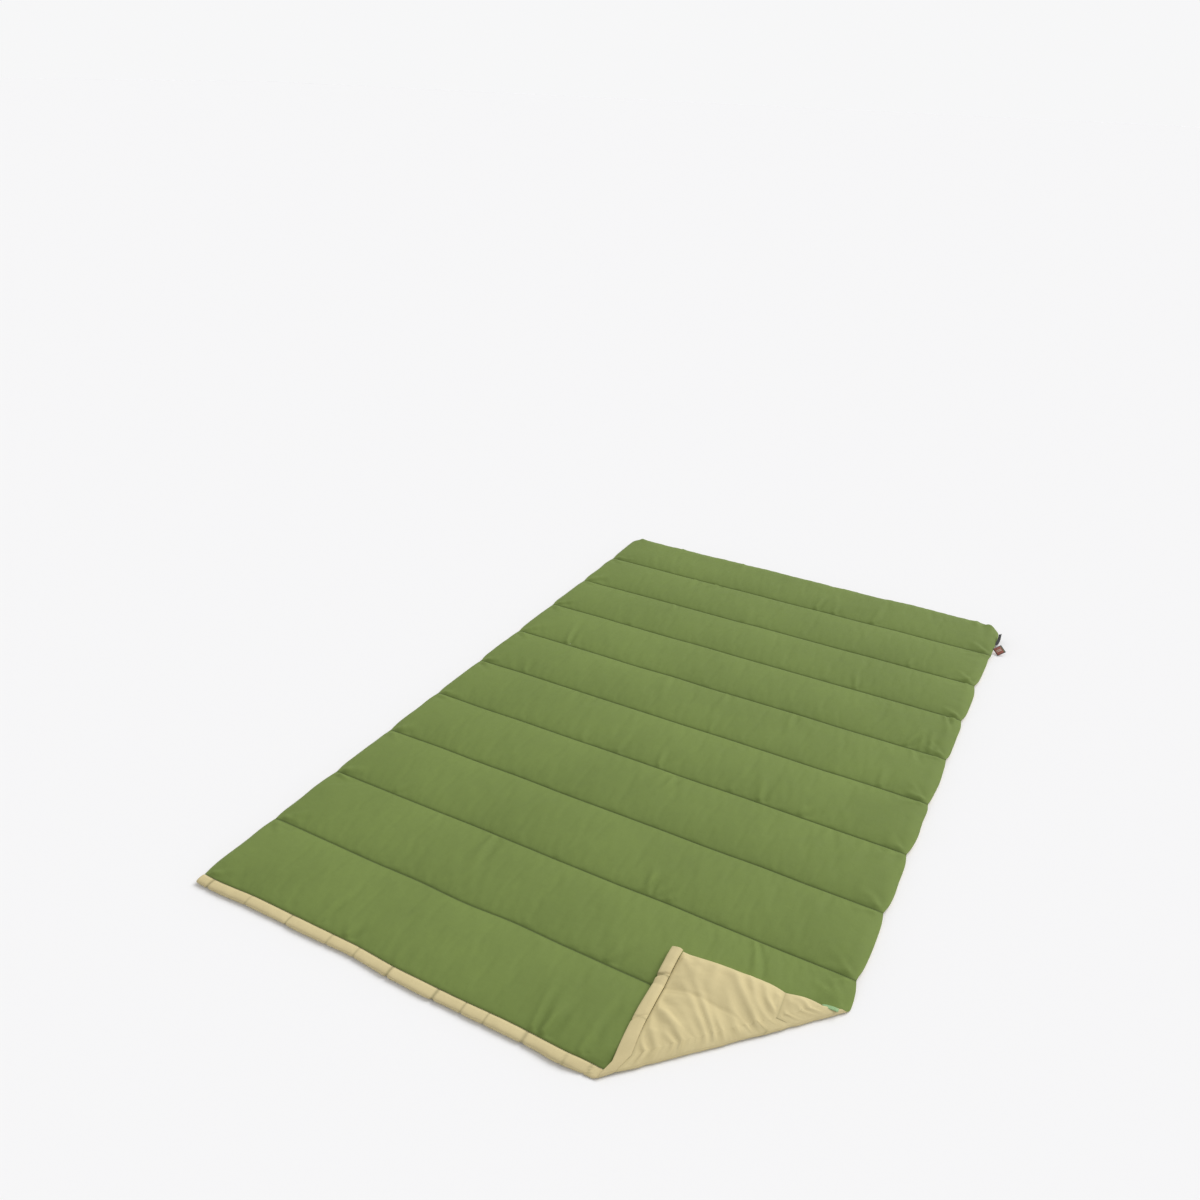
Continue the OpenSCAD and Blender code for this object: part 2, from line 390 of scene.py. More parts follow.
def drift(u, v):
    """Sideways shift of the cloth: pinched sides, a wavering outline and wandering seams."""
    k, t = channel_place(v)
    side = np.sign(u)
    pinch = NOTCH_DEPTH * np.exp(-((seam_distance(v) / NOTCH_REACH) ** 1.3))
    waver = SIDE_WAVER * (1 + noise(v / 0.055, side * 3.7, 21))
    reach = smooth((np.abs(u) - 0.45 * HALF_WIDTH) / (0.55 * HALF_WIDTH))
    in_corner = smooth((v - (HEAD_EDGE - 0.06)) / 0.06)
    dx = -side * reach * (pinch * (1 - in_corner) + waver) * (1 - beside_trim(u, v))

    def wander(seam):
        hinged = (seam > 1.5) & (seam < CHANNELS - 0.5)
        size = np.where(hinged, HINGED_SEAM_WANDER, SEAM_WANDER)
        return size * noise(u / 0.12, seam * 7.3, 22)

    share = (t + 1) / 2
    dy = wander(k) * (1 - share) + wander(k + 1) * share
    at_head = smooth((v - (HEAD_EDGE - 0.07)) / 0.07)
    to_corner = np.clip((u - (HALF_WIDTH - 0.16)) / 0.16, 0, 1) ** 2
    dy = dy - HEAD_WAVER * (1 + noise(u / 0.05, 2.2, 24)) * at_head
    dy = dy - HEAD_CORNER_PULL * to_corner * at_head
    out = fold_place(u, v)[1]
    free = smooth((np.abs(out) - 20 * MM) / (60 * MM))
    return dx * free, dy * free


# -------- the turned corner
def crease_point(t, q):
    """Place in the crease of cloth t outward: q is 1 on the shell, 0 at a seam, -1 on the lining."""
    points = []
    for axis in (0, 1):
        outer = np.interp(t, CREASE_STEPS, CREASE_OUTER[:, axis])
        thin = np.interp(t, CREASE_STEPS, CREASE_THIN[:, axis])
        inner = np.interp(t, CREASE_STEPS, CREASE_INNER[:, axis])
        amount = np.clip(np.abs(q), 0, 1.2)
        points.append(thin + amount * (np.where(q < 0, outer, inner) - thin))
    return points


def padding_share(z):
    """Place of height z in the padding: 1 at its crown, 0 at a seam, -1 on its underside."""
    above = (z - SEAM_Z) / (CROWN - SEAM_Z)
    return np.where(z > SEAM_Z, above, (z - SEAM_Z) / SEAM_Z)


def flap_floor(u, v):
    """Height of the turned corner's shell side, where it lies on the quilt."""
    x, y = mirror(u, v)
    t = fold_place(x, y)[1]
    top = base_heights(x, np.maximum(y, FIRST_SEAM))[0]
    sink = smooth((t - FOLD_FREE) / (FOLD_CREASE - FOLD_FREE))
    return CROWN + FLAP_GAP - FLAP_SAG * (CROWN - top) - 0.97 * CREASE_SQUASH * sink * top


def flap_fullness(t):
    """Share of the padding's thickness in the turned corner, which is pressed flat at its fold."""
    return 0.2 + 0.8 * smooth((np.maximum(t, FOLD_FLAP) - FOLD_FLAP) / 0.095) ** 0.8


def flap_wrinkles(u, v):
    """Folds of the turned lining: a fan out of the crease, and a few from its free side."""
    s, t = fold_place(u, v)
    generator = np.random.default_rng(11)
    total = np.zeros_like(u)
    place = 16 * MM
    while place < 0.455:
        long_one = generator.random() < 0.4
        reach = generator.uniform(70, 140) * MM if long_one else generator.uniform(22, 55) * MM
        height = generator.uniform(2.0, 3.6) * MM if long_one else generator.uniform(1.4, 2.9) * MM
        width = generator.uniform(4.2, 7.2) * MM
        lean = generator.uniform(-0.4, 0.2)
        away = t - FOLD_FLAP
        offset = (s - place - lean * away) / (width * (1 + 0.8 * np.maximum(away, 0) / reach))
        fade = 1 - smooth((away - 0.2 * reach) / reach)
        total += height * fade * (np.exp(-np.abs(offset) ** 1.6) - 0.6 * np.exp(-((offset - 1.8) ** 2)))
        place += generator.uniform(13, 30) * MM
    seam, side = seam_y(1), HALF_WIDTH - 14 * MM
    from_side = ((66, 112, 8, 3.2), (40, 74, -2, 2.4), (92, 60, 62, 2.2),
                 (128, 96, 120, 1.8), (165, 60, 150, 1.5))
    for back, length, aim, height in from_side:
        start = (side, seam - back * MM)
        end = (side - length * MM, seam - aim * MM)
        total += ridge(u, v, start, end, 7 * MM, height * MM)
    room = smooth((seam_distance(v) - 2 * MM) / (8 * MM)) * smooth((HALF_WIDTH - u) / (12 * MM))
    return total * room


def fold(u, v, z, ceiling):
    """Places cloth point (u, v) at height z; ceiling is the height of the shell side there."""
    s, t = fold_place(u, v)
    dx, dy = drift(u, v)
    q = padding_share(z)
    sink = smooth((t - FOLD_FREE) / (FOLD_CREASE - FOLD_FREE))
    at_crease = smooth((t + 40 * MM) / (24 * MM)) * (1 - smooth((t - FOLD_FLAP) / 0.05))

    # The lining side fills the crease, and the two sides stay apart where seam 1 crosses it
    fuller = np.maximum(3.5 * q, 0.7 * q - 0.3)
    q = np.where(q < 0, q + at_crease * (fuller - q), q)
    at_seam = at_crease * np.exp(-(((v - seam_y(1)) / SEAM_RELIEF) ** 2))
    padded = 0.9 * np.sign(q)
    q = np.where(np.abs(q) < 0.9, q + at_seam * (padded - q), q)
    z_there = np.where(q > 0, SEAM_Z + q * (CROWN - SEAM_Z), SEAM_Z * (1 + q))
    waver = CREASE_WAVER * noise(s / 0.045, 0.5, 40) + CREASE_RIPPLE * noise(s / 0.017, 0.5, 41)
    near = smooth((t + 45 * MM) / (30 * MM)) * (1 - smooth(t / (0.8 * FOLD_FLAP)))

    # The quilt part sinks towards the crease, and the turned part lies on it the other way up
    panel_t = t - CREASE_PULL * sink * np.maximum(q, 0)
    panel_z = np.maximum(z_there, 0) * (1 - CREASE_SQUASH * sink)
    crease_t, crease_z = crease_point(np.clip(t, FOLD_CREASE, 0), q)
    flap_t = np.maximum(t, FOLD_FLAP)
    x, y = from_fold(s, flap_t)
    floor = flap_floor(x, y)
    ramp = flap_fullness(flap_t)
    seam_lift = FLAP_SEAM_LIFT * np.exp(-np.abs((v - FIRST_SEAM) / (9 * MM)) ** 1.5)
    flap_z = floor + ramp * (ceiling - z + seam_lift)

    # One strip joins the middle of the crease to the turned part
    share = np.clip(t / FOLD_FLAP, 0, 1)
    strip_t = crease_t * (1 - share) - flap_t * share
    strip_z = crease_z * (1 - share) + flap_z * share
    out = np.where(t < FOLD_CREASE, panel_t, strip_t)
    up = np.where(t < FOLD_CREASE, panel_z, strip_z)
    up = up * (1 + 0.06 * near * noise(s / 0.03, 2.5, 42))
    x, y = from_fold(s, out + near * waver * (q < 0.3))

    # The sideways shift of the cloth is mirrored on the turned part
    turned = t > FOLD_FLAP
    along = dx * ALONG[0] + dy * ALONG[1]
    across = dx * OUTWARD[0] + dy * OUTWARD[1]
    across = np.where(turned, -across, across)
    x = x + along * ALONG[0] + across * OUTWARD[0]
    y = y + along * ALONG[1] + across * OUTWARD[1]
    return np.stack([x, y, np.maximum(up, 0)], axis=-1)


# -------- mesh making
def grid_faces(rows, columns, wrap=False):
    """Quads of a grid of points stored row by row. With wrap, each row is a closed ring."""
    faces = []
    for j in range(rows - 1):
        for i in range(columns if wrap else columns - 1):
            a, b = j * columns + i, j * columns + (i + 1) % columns
            faces.append((a, b, b + columns, a + columns))
    return faces


def add_mesh(name, points, faces, flat=None):
    """A smooth object; flat keeps each point's place on the flat cloth for the materials."""
    mesh = bpy.data.meshes.new(name)
    mesh.from_pydata([tuple(p) for p in np.asarray(points, float)], [], faces)
    mesh.validate()
    if flat is not None:
        attribute = mesh.attributes.new("flat", "FLOAT_VECTOR", "POINT")
        attribute.data.foreach_set("vector", np.asarray(flat, np.float32).ravel())
    mesh.shade_smooth()
    piece = bpy.data.objects.new(name, mesh)
    bpy.context.scene.collection.objects.link(piece)
    return piece


def channel_rows(k, count=35):
    """Places across channel k, closer together near its seams."""
    even = np.linspace(-1, 1, count)
    eased = 0.35 * even + 0.65 * np.sin(even * math.pi / 2)
    return seam_y(k) + (eased + 1) / 2 * PITCH


def border_of(faces, count):
    """True for each point on the open edge of the faces."""
    edges = {}
    for face in faces:
        for a, b in zip(face, face[1:] + face[:1]):
            key = (min(a, b), max(a, b))
            edges[key] = edges.get(key, 0) + 1
    border = np.zeros(count, bool)
    for (a, b), uses in edges.items():
        if uses == 1:
            border[a] = border[b] = True
    return border


def painted_groove_shade(v, is_shell):
    """Depth of painted shade in the stitched grooves, fading to 0 away from them."""
    return (0.95 if is_shell else 0.3) * np.exp(-((seam_distance(v) / (2 * MM)) ** 1.2))


def layer_heights(u, v, is_shell):
    """Heights of a cloth's outer face and inner face, and of the shell side there."""
    top, bottom = heights(u, v)
    middle = (top + bottom) / 2
    if is_shell:
        return top, np.maximum(top - CLOTH, middle), top
    return bottom, np.minimum(bottom + CLOTH, middle), top


def tube_faces(rings, sides):
    """Faces of a tube whose points are stored ring by ring, with both ends closed."""
    faces = grid_faces(rings, sides, wrap=True)
    faces.append(tuple(range(sides))[::-1])
    faces.append(tuple((rings - 1) * sides + i for i in range(sides)))
    return faces


def own_points(faces):
    """The points that the faces use, and the faces with those points numbered from 0."""
    used = np.unique(np.concatenate([np.asarray(face) for face in faces]))
    place = {int(old): new for new, old in enumerate(used)}
    return used, [tuple(place[int(i)] for i in face) for face in faces]


def surface_normals(points, faces):
    """Smooth normals of one face of the cloth."""
    trial = add_mesh("trial_surface", points, faces)
    normals = np.empty(len(points) * 3, np.float32)
    trial.data.vertex_normals.foreach_get("vector", normals)
    bpy.data.objects.remove(trial)
    return normals.reshape(-1, 3)


def fan_out(faces, rim, layers):
    """Splits each face that has only rim points about a new point, added to the layers.

    In the last strip of the crease that point stays beside the turned corner's row.
    """
    kept, ears = [], []
    for face in faces:
        (ears if all(rim[i] for i in face) else kept).append(face)
    for face in ears:
        middle = len(layers[0])
        corners = list(face)
        out = fold_place(layers[2][corners, 0], layers[2][corners, 1])[1]
        in_strip = out.min() < FOLD_FLAP - 1e-4 and out.max() - out.min() > 0.02
        share = np.where(out == out.max(), 1.0, 0.02) if in_strip else np.ones(len(corners))
        share = share[:, None] / share.sum()
        layers = [np.vstack([layer, (layer[corners] * share).sum(axis=0)]) for layer in layers]
        kept += [(a, b, middle) for a, b in zip(face, face[1:] + face[:1])]
    return kept, layers


def cloth_piece(name, outer, inner, flat, faces, normals):
    """Closed thin cloth: the outer and inner faces share the points of their rim."""
    used, front = own_points(faces)
    layers = [outer[used], inner[used], flat[used], normals[used]]
    front, layers = fan_out(front, border_of(front, len(used)), layers)
    outer, inner, flat, normals = layers
    free = ~border_of(front, len(outer))
    back_place = np.arange(len(outer))
    back_place[free] = len(outer) + np.arange(free.sum())
    back = [tuple(int(back_place[i]) for i in reversed(face)) for face in front]
    points = np.concatenate([outer, inner[free]])
    piece = add_mesh(name, points, front + back, np.concatenate([flat, flat[free]]))
    facing = [normals[i] for face in front for i in face]
    facing += [-normals[i] for face in front for i in reversed(face)]
    piece.data.normals_split_custom_set([tuple(float(c) for c in n) for n in facing])
    return piece


def channel_cloth(k, is_shell):
    """Shell or lining of one free channel."""
    rows = channel_rows(k)
    count = int(round(2 * HALF_WIDTH / COLUMN_STEP)) + 1
    share = np.linspace(-1, 1, count)
    u = (share[None, :] * side_limit(rows)[:, None]).ravel()
    v = np.repeat(rows, count)
    dx, dy = drift(u, v)
    outer, inner = (np.stack([u + dx, v + dy, z], axis=1) for z in layer_heights(u, v, is_shell)[:2])
    faces = grid_faces(len(rows), count)
    if not is_shell:
        faces = [face[::-1] for face in faces]
    name = ("outer_cloth_" if is_shell else "lining_cloth_") + str(k + 1)
    # The third value is the depth of painted shade in the seam grooves
    flat = np.stack([u, v, painted_groove_shade(v, is_shell)], axis=1)
    return cloth_piece(name, outer, inner, flat, faces, surface_normals(outer, faces))


def zip_rows(low, high):
    """Triangles between two rows of (place, vertex), each sorted by place."""
    low_start, low_end = low[0][0], low[-1][0]
    high_start, high_end = high[0][0], high[-1][0]
    faces, i, j = [], 0, 0
    while i < len(low) - 1 or j < len(high) - 1:
        next_low = (low[i + 1][0] - low_start) / (low_end - low_start) if i < len(low) - 1 else 9
        next_high = (high[j + 1][0] - high_start) / (high_end - high_start) if j < len(high) - 1 else 9
        if next_low <= next_high:
            faces.append((low[i][1], low[i + 1][1], high[j][1]))
            i += 1
        else:
            faces.append((low[i][1], high[j + 1][1], high[j][1]))
            j += 1
    return faces


def foot_cloth_flat():
    """Flat cloth of the two foot channels, with rows of points along the crease."""
    rows = np.unique(np.round(np.concatenate([channel_rows(k, 57) for k in (0, 1)]), 9))
    fine_from = FOLD_START[0] - 0.03
    coarse = np.arange(-HALF_WIDTH, fine_from, COLUMN_STEP)
    columns = np.append(coarse, np.linspace(fine_from, HALF_WIDTH, 120))
    u, v = np.meshgrid(columns, rows)
    bm = bmesh.new()
    made = [bm.verts.new((a, b, 0)) for a, b in zip(u.ravel(), v.ravel())]
    for face in grid_faces(len(rows), len(columns)):
        bm.faces.new([made[i] for i in face])

    def cut(point, normal, span_free=False):
        faces = bm.faces[:]
        if span_free:
            faces = [face for face in faces if not in_span(face)]
        edges = {edge for face in faces for edge in face.edges}
        verts = {vertex for face in faces for vertex in face.verts}
        geometry = list(verts) + list(edges) + faces
        bmesh.ops.bisect_plane(bm, geom=geometry, dist=2e-5, plane_co=point, plane_no=normal)

    def out_of(vertex):
        return fold_place(vertex.co.x, vertex.co.y)

    def in_span(face):
        """True in the last strip of the crease, which has no points between its two sides."""
        middle = face.calc_center_median()
        return 0 < fold_place(middle.x, middle.y)[1] < FOLD_FLAP

    # The stretch along the fold is cut out, and filled with rows that follow the hinge line
    for t in (FOLD_FREE, FOLD_FLAP):
        cut((*from_fold(0, t), 0), (*OUTWARD, 0))
    doomed = []
    for face in bm.faces:
        centre = face.calc_center_median()
        if FOLD_FREE < fold_place(centre.x, centre.y)[1] < FOLD_FLAP:
            doomed.append(face)
    bmesh.ops.delete(bm, geom=doomed, context="FACES")

    def border_row(t):
        found = [(out_of(w)[0], w) for w in bm.verts if abs(out_of(w)[1] - t) < 3e-5]
        return sorted(found, key=lambda pair: pair[0])

    def new_row(t, count=170):
        start = (seam_y(0) - FOLD_START[1] - t * OUTWARD[1]) / ALONG[1]
        end = (HALF_WIDTH - FOLD_START[0] - t * OUTWARD[0]) / ALONG[0]
        places = np.linspace(start, end, count)
        return [(s, bm.verts.new((*from_fold(s, t), 0))) for s in places]

    low = border_row(FOLD_FREE)
    for t in np.concatenate([BEFORE_CREASE, CREASE_ROWS]):
        high = new_row(t)
        for face in zip_rows(low, high):
            bm.faces.new(face)
        low = high
    for face in zip_rows(low, border_row(FOLD_FLAP)):
        bm.faces.new(face)
    cut((0, seam_y(1), 0), (0, 1, 0), span_free=True)
    bm.verts.index_update()
    points = np.array([w.co[:2] for w in bm.verts])
    faces = []
    for face in bm.faces:
        ring = [w.index for w in face.verts]
        turn = sum(np.cross(points[a], points[b]) for a, b in zip(ring, ring[1:] + ring[:1]))
        faces.append(ring if turn > 0 else ring[::-1])
    bm.free()
    return points, faces


def fold_zones(faces, t):
    """Faces of the quilt part, of the crease and of the turned part."""
    middles = np.array([np.mean(t[list(face)]) for face in faces])
    zone = (middles >= FOLD_CREASE).astype(int) + (middles > FOLD_FLAP)
    return [[faces[i] for i in np.flatnonzero(zone == number)] for number in range(3)]


def foot_cloth(u, v, faces, is_shell):
    """The foot cloth, as its quilt part, its crease and its turned part, with one shading."""
    t = fold_place(u, v)[1]
    outer_z, inner_z, ceiling = layer_heights(u, v, is_shell)
    if not is_shell:
        faces = [face[::-1] for face in faces]
        full = smooth((ceiling - outer_z) / (6 * MM)) * smooth(t / FOLD_FLAP)
        pucker = np.where(t > 0, flap_wrinkles(u, v), 0) * full
        pucker = np.maximum(pucker / flap_fullness(t), -2 * MM)
        outer_z, inner_z = outer_z - pucker, inner_z - pucker
    own_side = 1e-6 if is_shell else -1e-6
    outer, inner = (fold(u, v, z + own_side, ceiling) for z in (outer_z, inner_z))
    # The third value is the depth of painted shade in the seam grooves
    flat = np.stack([u, v, painted_groove_shade(v, is_shell)], axis=1)
    normals = surface_normals(outer, faces)
    name = "outer_cloth_foot" if is_shell else "lining_cloth_foot"
    return [cloth_piece(name + ending, outer, inner, flat, zone, normals)
            for ending, zone in zip(FOLD_ENDINGS, fold_zones(faces, t))]


# -------- foot binding
def binding_ring(angle, u):
    """Section of the binding at angle, as (v, z): a soft roll pinched at its seam."""
    middle = (FOOT_EDGE + FIRST_SEAM) / 2
    half = (FIRST_SEAM - FOOT_EDGE) / 2
    across = np.cos(angle)
    taper = 1 - 0.45 * smooth((across - 0.35) / 0.65)
    full = 1 + 0.2 * noise(u / 0.05, 0.3, 50) + 0.12 * noise(u / 0.017, 0.3, 51)
    nick = binding_nicks(u)
    tall = BINDING_HEIGHT / 2 * taper * full * (1 - 0.42 * nick)
    up = np.sign(np.sin(angle)) * np.abs(np.sin(angle)) ** 0.8 * tall
    v = middle + half * np.sign(across) * np.abs(across) ** 0.8
    v = v + np.where(across < 0, 1, 0) * (2 * MM * (1 + noise(u / 0.06, 1.3, 52)) + 2.4 * MM * nick)
    z = BINDING_HEIGHT / 2 + 0.6 * MM + up + (SEAM_Z - 7 * MM) * smooth(across)
    return v, np.clip(z, 0.4 * MM, 17 * MM)


def binding_nicks(u):
    """Narrow creases across the binding, at uneven places."""
    generator = np.random.default_rng(7)
    total, place = np.zeros_like(u), -HALF_WIDTH + 0.03
    while place < HALF_WIDTH:
        width = generator.uniform(1.8, 3.6) * MM
        total = total + generator.uniform(0.3, 1) * np.exp(-(((u - place) / width) ** 2))
        place += generator.uniform(0.045, 0.12)
    return np.clip(total, 0, 1)


def binding_columns():
    """Places along the binding; near the fold they follow the crease's rows."""
    middle = (FOOT_EDGE + FIRST_SEAM) / 2
    slope = ALONG[0] / ALONG[1]

    def column_at(t):
        return FOLD_START[0] + (t + (middle - FOLD_START[1]) * ALONG[0]) / ALONG[1]

    before = np.linspace(-HALF_WIDTH, column_at(-26 * MM), 480)
    inside = column_at(CREASE_ROWS)
    after = np.linspace(column_at(FOLD_FLAP), HALF_WIDTH, 140)
    columns = np.concatenate([before, inside, after])
    lean = slope * smooth((columns - (column_at(FOLD_CREASE) - 0.12)) / 0.10)
    lean = lean * (1 - smooth((columns - (HALF_WIDTH - 0.12)) / 0.10))
    return columns, lean, middle


def tube_points(shrink):
    """Grid of the binding's points, as (u, v, z, ceiling), shrunk about its middle."""
    columns, lean, middle = binding_columns()
    angles = np.linspace(0, 2 * math.pi, BINDING_SIDES, endpoint=False)
    u, angle = np.meshgrid(columns, angles, indexing="ij")
    v, z = binding_ring(angle, u)
    v = middle + (v - middle) * shrink
    z = BINDING_HEIGHT / 2 + (z - BINDING_HEIGHT / 2) * shrink
    u = u + lean[:, None] * (v - middle)
    ceiling = np.repeat(z.max(axis=1)[:, None], BINDING_SIDES, axis=1)
    return np.stack([u, v, z, ceiling], axis=2)


def foot_binding():
    """The cloth of the binding, as its quilt part, its crease and its turned part."""
    grid = tube_points(1.0)
    rows, sides = grid.shape[:2]
    spots = grid.reshape(-1, 4)
    faces = [face[::-1] for face in grid_faces(rows, sides, wrap=True)]
    for first, step in ((0, 1), (rows * sides - 1, -1)):
        ring = [first + step * i for i in range(sides)]
        faces += [(len(spots), a, b) for a, b in zip(ring, ring[1:] + ring[:1])]
        spots = np.vstack([spots, spots[ring].mean(axis=0)])
    u, v, z, ceiling = spots.T
    points = fold(u, v, z, ceiling)
    # The third value paints shade into the binding's nicks
    flat = np.stack([u, v, 0.7 * binding_nicks(u)], axis=1)
    normals = surface_normals(points, faces)
    pieces = []
    for ending, zone in zip(FOLD_ENDINGS, fold_zones(faces, fold_place(u, v)[1])):
        used, small = own_points(zone)
        piece = add_mesh("foot_binding_cloth" + ending, points[used], small, flat[used])
        piece.data.normals_split_custom_set_from_vertices(normals[used].tolist())
        pieces.append(piece)
    return pieces


# -------- wadding
def pillow(name, u, v, squeeze, turned=False):
    """A closed soft layer over the grid (u, v): squeeze is its share of the padding's thickness."""
    top, bottom = base_heights(u, v)
    rows, columns = u.shape
    across_rows = 1 - np.abs(np.linspace(-1, 1, rows))[:, None] ** 8
    across_columns = 1 - np.abs(np.linspace(-1, 1, columns))[None, :] ** 24
    middle = (top + bottom) / 2
    half = np.maximum((top - bottom) / 2 * squeeze - WADDING_GAP, 0.2 * MM)
    half = half * across_rows * across_columns
    free = np.zeros((rows, columns), bool)
    free[1:-1, 1:-1] = True
    index = np.arange(free.size)
    index[free.ravel()] = free.size + np.arange(free.sum())
    faces = grid_faces(rows, columns)
    faces += [tuple(int(index[i]) for i in reversed(face)) for face in faces]
    if turned:
        faces = [face[::-1] for face in faces]

    def both(upper, lower):
        return np.concatenate([upper.ravel(), lower[free]])

    flat = np.stack([both(u, u), both(v, v), both(middle + half, middle - half)], axis=1)
    return add_mesh(name, fold(*flat.T, both(top, top)), faces, flat)


def wadding_rows(k):
    return seam_y(k) + np.linspace(0.03, 0.97, 15) * PITCH


def span_grid(rows, left, right, count):
    """Grid of points on the rows, with count points from left to right in each."""
    share = np.linspace(0, 1, count)
    left, right = (np.broadcast_to(end, rows.shape)[:, None] for end in (left, right))
    return left + share * (right - left), np.repeat(rows[:, None], count, axis=1)


def channel_wadding(k):
    rows = wadding_rows(k)
    reach = side_limit(rows) - WADDING_INSET
    u, v = span_grid(rows, -reach, reach, 81)
    return pillow(f"wadding_layer_{k + 1}", u, v, WADDING_FULL)


def line_u(v, t):
    """Where the line t outward from the hinge line crosses v."""
    return FOLD_START[0] + (t - (v - FOLD_START[1]) * OUTWARD[1]) / OUTWARD[0]


def foot_waddings():
    """Wadding of the foot channels, beside the turned corner and in it."""
    parts, turned_parts = [], []
    side = HALF_WIDTH - WADDING_INSET
    for k in range(FOOT_CHANNELS):
        rows = wadding_rows(k)
        u, v = span_grid(rows, -side, np.minimum(side, line_u(rows, -30 * MM)), 75)
        parts.append(pillow(f"wadding_layer_{k + 1}", u, v, WADDING_FULL))
        start = line_u(rows, 38 * MM)
        keep = start < HALF_WIDTH - 14 * MM
        u, v = span_grid(rows[keep], start[keep], side, 31)
        if k == 1:
            v = v[0] + (v - v[0]) * 0.97
        turned_parts.append(pillow(f"wadding_turned_{k + 1}", u, v, 0.8, turned=True))
    return parts, turned_parts


def binding_cores():
    """Wadding inside the binding, beside the turned corner and in it."""
    grid = tube_points(0.84)
    t = fold_place(grid[:, :, 0], grid[:, :, 1])[1]
    cores = []
    for name, chosen in (("binding_core", t.max(axis=1) < -20 * MM),
                         ("binding_core_turned", t.min(axis=1) > FOLD_FLAP + 6 * MM)):
        picked = grid[np.flatnonzero(chosen)[2:-2]]
        u, v, z, ceiling = picked.reshape(-1, 4).T
        points = fold(u, v, z, ceiling + 1.0 * MM)
        faces = tube_faces(len(picked), BINDING_SIDES)
        cores.append(add_mesh(name, points, faces, np.stack([u, v, z], axis=1)))
    return cores


# -------- stitching
STITCH_PITCH = 3.6 * MM
STITCH_LENGTH = 2.7 * MM
STITCH_WIDTH = 0.8 * MM
STITCH_RISE = 0.3 * MM
STITCH_SIDES = 8


def stitch_row(name, k, start=-math.inf, end=math.inf):
    """Separate stitches along seam k, where it runs from start to end outward from the hinge line."""
    places = np.arange(-HALF_WIDTH + 5 * MM, HALF_WIDTH - 5 * MM, STITCH_PITCH)
    v = seam_y(k)
    out = fold_place(places, v)[1]
    rings = np.linspace(-1, 1, 7)
    points, faces = [], []
    for u in places[(out > start) & (out < end)]:
        base = len(points)
        for ring in rings:
            size = math.sqrt(max(0.0, 1 - abs(ring) ** 3)) * STITCH_WIDTH / 2 + 0.02 * MM
            for i in range(STITCH_SIDES):
                angle = 2 * math.pi * i / STITCH_SIDES
                points.append((u + ring * STITCH_LENGTH / 2, v + size * math.cos(angle),
                               SEAM_Z + STITCH_RISE * (1 - ring * ring) + 0.7 * size * math.sin(angle)))
        one = tube_faces(len(rings), STITCH_SIDES)
        faces += [tuple(base + i for i in reversed(face)) for face in one]
    points = np.array(points)
    return add_mesh(name, fold(*points.T, np.full(len(points), SEAM_Z)), faces, points)


# -------- trim
def ribbon(name, path, width_direction, width, thickness, steps_across=8):
    """A tape swept along path; its width lies along width_direction."""
    path = np.asarray(path, float)
    ahead = np.gradient(path, axis=0)
    ahead /= np.linalg.norm(ahead, axis=1)[:, None]
    across = np.asarray(width_direction, float)
    if across.ndim == 1:
        across = np.repeat(across[None, :], len(path), axis=0)
    across = across - (across * ahead).sum(axis=1)[:, None] * ahead
    across /= np.linalg.norm(across, axis=1)[:, None]
    normal = np.cross(ahead, across)
    shares = np.linspace(-1, 1, steps_across)
    section = [(x, 0.5 * (1 - 0.5 * abs(x) ** 6)) for x in shares]
    section += [(x, -h) for x, h in reversed(section)]
    points, flat = [], []
    length = 0.0
    for i, place in enumerate(path):
        if i:
            length += np.linalg.norm(path[i] - path[i - 1])
        for x, h in section:
            points.append(place + across[i] * x * width / 2 + normal[i] * h * thickness)
            flat.append((x * width / 2, length, h))
    return add_mesh(name, points, tube_faces(len(path), len(section)), flat)


def hanging_loop():
    """Ribbed tape folded into a narrow loop that lies along the side, its ends in the seam."""
    low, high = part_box("hang_loop")
    length = high.y - low.y
    turn = np.linspace(0, 2 * math.pi, 61)[1:-1]
    share = (1 - np.cos(turn)) / 2
    gap_shape = np.sin(turn) * (0.35 + 0.65 * np.sin(share * math.pi * 0.9) ** 0.7)
    y = low.y - 2 * MM + share * length
    z = SEAM_Z + gap_shape * 3.4 * MM + 10 * MM * share**1.5
    x = low.x - 1 * MM + 2.5 * MM * np.sin(share * 3) + 1.5 * MM * share
    path = np.stack([x, y, z], axis=1)
    widths = np.array([[math.cos(a), 0.15, math.sin(a)] for a in 0.25 + 0.5 * share])
    return ribbon("loop_tape_black", path, widths, 9 * MM, 1.0 * MM)


